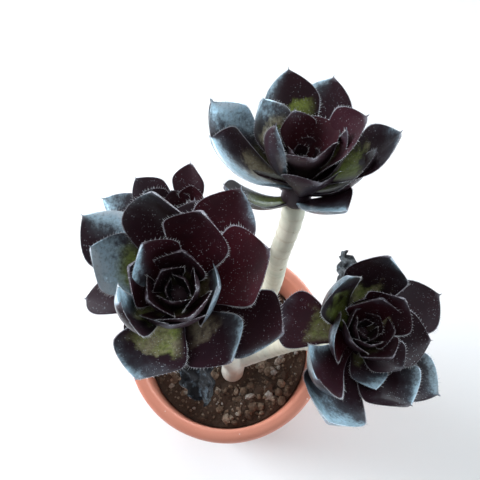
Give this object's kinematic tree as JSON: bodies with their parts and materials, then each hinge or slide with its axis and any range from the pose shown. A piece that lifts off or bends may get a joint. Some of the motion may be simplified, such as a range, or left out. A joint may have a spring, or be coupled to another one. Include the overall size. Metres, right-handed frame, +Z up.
{
  "type": "potted aeonium",
  "caption": "Black-leaved aeonium with leaf rosettes on bare branching stems, growing in gritty soil in a round terracotta-coloured pot.",
  "frame": {"origin": "centre of the pot's underside, on the surface it stands on", "axes": "+Z up along the pot's axis; +X towards the viewer's right and -Y towards the viewer in the picture's view"},
  "size_m": [0.1724, 0.1578, 0.3113],
  "materials": {
    "pot": "terracotta-coloured, low sheen",
    "soil": "gritty and matt",
    "stem": "pale smooth bark with leaf scars",
    "leaf": "near-black purple with a waxy sheen"
  },
  "bodies": {
    "root": {"pot": "pot", "soil": "soil", "stem": "stem", "rosette_left": "leaf", "rosette_top": "leaf", "rosette_right": "leaf", "rosette_back": "leaf"}
  },
  "joints": []
}
